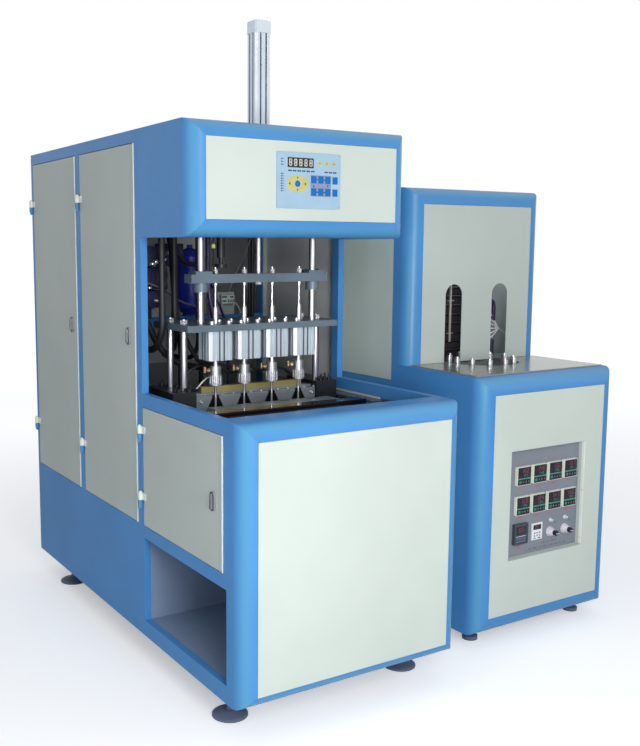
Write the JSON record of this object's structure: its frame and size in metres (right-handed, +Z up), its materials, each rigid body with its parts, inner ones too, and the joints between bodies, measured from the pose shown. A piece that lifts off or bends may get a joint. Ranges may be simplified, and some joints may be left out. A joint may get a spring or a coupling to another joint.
{
  "type": "blow moulding machine",
  "caption": "Two-cabinet bottle blowing machine: a stretch and blow station over a mould clamp, and a rotary preform oven with arched slots beside it.",
  "frame": {"origin": "on the floor under the middle of the whole machine's box", "axes": "+X to the right along the fronts, +Y to the back, +Z up"},
  "size_m": [1.834, 1.864, 2.285],
  "materials": {
    "cabinet_frame": "semi-gloss",
    "lower_front_panel": "semi-gloss",
    "hood_front_panel": "semi-gloss",
    "hood_shell": "semi-gloss",
    "cabinet_panels": "semi-gloss",
    "bay_liner": "satin",
    "hinge_pins": "semi-gloss",
    "levelling_feet": "satin",
    "table_plates": "satin",
    "keypad": "satin",
    "top_plate": "satin",
    "stretch_cylinder": "anodised",
    "guide_rods": "polished",
    "blow_plate": "satin",
    "plate_columns": "polished",
    "plate_screws": "plated",
    "blow_cylinders": "anodised",
    "mould_bed": "satin",
    "bed_plate": "satin",
    "stop_bar": "satin",
    "rear_mould": "satin",
    "tie_bars": "polished",
    "clamp_cylinder": "anodised",
    "air_tank": "gloss",
    "control_box": "satin",
    "air_filter": "satin",
    "air_hoses": "matte",
    "door_rear": "semi-gloss",
    "door_middle": "semi-gloss",
    "door_low": "semi-gloss",
    "latch_rear": "polished",
    "latch_middle": "polished",
    "latch_low": "polished",
    "stretch_beam": "satin",
    "stretch_rods": "polished",
    "rod_nuts": "plated",
    "piston_rod": "polished",
    "blow_head_1": "polished",
    "blow_head_2": "polished",
    "blow_head_3": "polished",
    "blow_head_4": "polished",
    "front_mould": "satin",
    "front_platen": "satin",
    "oven_frame": "semi-gloss",
    "oven_front_panel": "semi-gloss",
    "oven_panels": "semi-gloss",
    "tower_front_panel": "semi-gloss",
    "oven_table_plate": "satin",
    "spindle_disc": "satin",
    "spindle_set": "polished",
    "disc_drive": "painted",
    "lamp_bank": "matte",
    "instrument_plate": "satin",
    "controllers": "satin",
    "drive_display": "satin",
    "switch_bezels": "polished",
    "selector_left": "satin",
    "selector_right": "satin",
    "toggle_left": "polished",
    "toggle_right": "polished"
  },
  "bodies": {
    "machine": {"cabinet_frame": "cabinet_frame", "lower_front_panel": "lower_front_panel", "hood_front_panel": "hood_front_panel", "hood_shell": "hood_shell", "cabinet_panels": "cabinet_panels", "bay_liner": "bay_liner", "hinge_pins": "hinge_pins", "levelling_feet": "levelling_feet", "table_plates": "table_plates", "keypad": "keypad", "top_plate": "top_plate", "stretch_cylinder": "stretch_cylinder", "guide_rods": "guide_rods", "blow_plate": "blow_plate", "plate_columns": "plate_columns", "plate_screws": "plate_screws", "blow_cylinders": "blow_cylinders", "mould_bed": "mould_bed", "bed_plate": "bed_plate", "stop_bar": "stop_bar", "rear_mould": "rear_mould", "tie_bars": "tie_bars", "clamp_cylinder": "clamp_cylinder", "air_tank": "air_tank", "control_box": "control_box", "air_filter": "air_filter", "air_hoses": "air_hoses", "oven_frame": "oven_frame", "oven_front_panel": "oven_front_panel", "oven_panels": "oven_panels", "tower_front_panel": "tower_front_panel", "oven_table_plate": "oven_table_plate", "disc_drive": "disc_drive", "lamp_bank": "lamp_bank", "instrument_plate": "instrument_plate", "controllers": "controllers", "drive_display": "drive_display", "switch_bezels": "switch_bezels"},
    "rear_door": {"door_rear": "door_rear"},
    "middle_door": {"door_middle": "door_middle"},
    "low_door": {"door_low": "door_low"},
    "rear_latch": {"latch_rear": "latch_rear"},
    "middle_latch": {"latch_middle": "latch_middle"},
    "low_latch": {"latch_low": "latch_low"},
    "stretch_carriage": {"stretch_beam": "stretch_beam", "stretch_rods": "stretch_rods", "rod_nuts": "rod_nuts", "piston_rod": "piston_rod"},
    "blow_unit_1": {"blow_head_1": "blow_head_1"},
    "blow_unit_2": {"blow_head_2": "blow_head_2"},
    "blow_unit_3": {"blow_head_3": "blow_head_3"},
    "blow_unit_4": {"blow_head_4": "blow_head_4"},
    "mould_carriage": {"front_mould": "front_mould", "front_platen": "front_platen"},
    "preform_disc": {"spindle_disc": "spindle_disc", "spindle_set": "spindle_set"},
    "left_selector": {"selector_left": "selector_left"},
    "right_selector": {"selector_right": "selector_right"},
    "left_toggle": {"toggle_left": "toggle_left"},
    "right_toggle": {"toggle_right": "toggle_right"}
  },
  "joints": [
    {"name": "rear_door_hinge", "type": "hinge", "parent": "machine", "child": "rear_door", "pos_m": [-0.909, 0.9185, 1.2], "axis": [0, 0, -1], "range_deg": [0, 105]},
    {"name": "middle_door_hinge", "type": "hinge", "parent": "machine", "child": "middle_door", "pos_m": [-0.909, 0.345, 1.2], "axis": [0, 0, -1], "range_deg": [0, 105]},
    {"name": "low_door_hinge", "type": "hinge", "parent": "machine", "child": "low_door", "pos_m": [-0.909, -0.2285, 0.73], "axis": [0, 0, -1], "range_deg": [0, 105]},
    {"name": "rear_latch_turn", "type": "hinge", "parent": "rear_door", "child": "rear_latch", "pos_m": [-0.901, 0.4395, 1.1865], "axis": [-1, 0, 0], "range_deg": [0, 90]},
    {"name": "middle_latch_turn", "type": "hinge", "parent": "middle_door", "child": "middle_latch", "pos_m": [-0.901, -0.134, 1.1865], "axis": [-1, 0, 0], "range_deg": [0, 90]},
    {"name": "low_latch_turn", "type": "hinge", "parent": "low_door", "child": "low_latch", "pos_m": [-0.901, -0.76, 0.7305], "axis": [-1, 0, 0], "range_deg": [0, 90]},
    {"name": "stretch_slide", "type": "slide", "parent": "machine", "child": "stretch_carriage", "axis": [0, 0, 1], "range_m": [-0.07, 0.24]},
    {"name": "blow_slide_1", "type": "slide", "parent": "machine", "child": "blow_unit_1", "axis": [0, 0, -1], "range_m": [0, 0.036]},
    {"name": "blow_slide_2", "type": "slide", "parent": "machine", "child": "blow_unit_2", "axis": [0, 0, -1], "range_m": [0, 0.036]},
    {"name": "blow_slide_3", "type": "slide", "parent": "machine", "child": "blow_unit_3", "axis": [0, 0, -1], "range_m": [0, 0.036]},
    {"name": "blow_slide_4", "type": "slide", "parent": "machine", "child": "blow_unit_4", "axis": [0, 0, -1], "range_m": [0, 0.036]},
    {"name": "clamp_slide", "type": "slide", "parent": "machine", "child": "mould_carriage", "axis": [0, 1, 0], "range_m": [0, 0.08]},
    {"name": "disc_turn", "type": "hinge", "parent": "machine", "child": "preform_disc", "pos_m": [0.5535, -0.402, 1.034], "axis": [0, 0, 1], "continuous": true},
    {"name": "left_selector_turn", "type": "hinge", "parent": "machine", "child": "left_selector", "pos_m": [0.604, -0.755, 0.395], "axis": [0, -1, 0], "range_deg": [0, 90]},
    {"name": "right_selector_turn", "type": "hinge", "parent": "machine", "child": "right_selector", "pos_m": [0.686, -0.755, 0.395], "axis": [0, -1, 0], "range_deg": [0, 90]},
    {"name": "left_toggle_flip", "type": "hinge", "parent": "machine", "child": "left_toggle", "pos_m": [0.604, -0.764, 0.441], "axis": [-1, 0, 0], "range_deg": [0, 24]},
    {"name": "right_toggle_flip", "type": "hinge", "parent": "machine", "child": "right_toggle", "pos_m": [0.686, -0.764, 0.441], "axis": [-1, 0, 0], "range_deg": [0, 24]}
  ],
  "couplings": [
    {"joint": "blow_slide_2", "follows": "blow_slide_1", "ratio": 1},
    {"joint": "blow_slide_3", "follows": "blow_slide_1", "ratio": 1},
    {"joint": "blow_slide_4", "follows": "blow_slide_1", "ratio": 1}
  ]
}
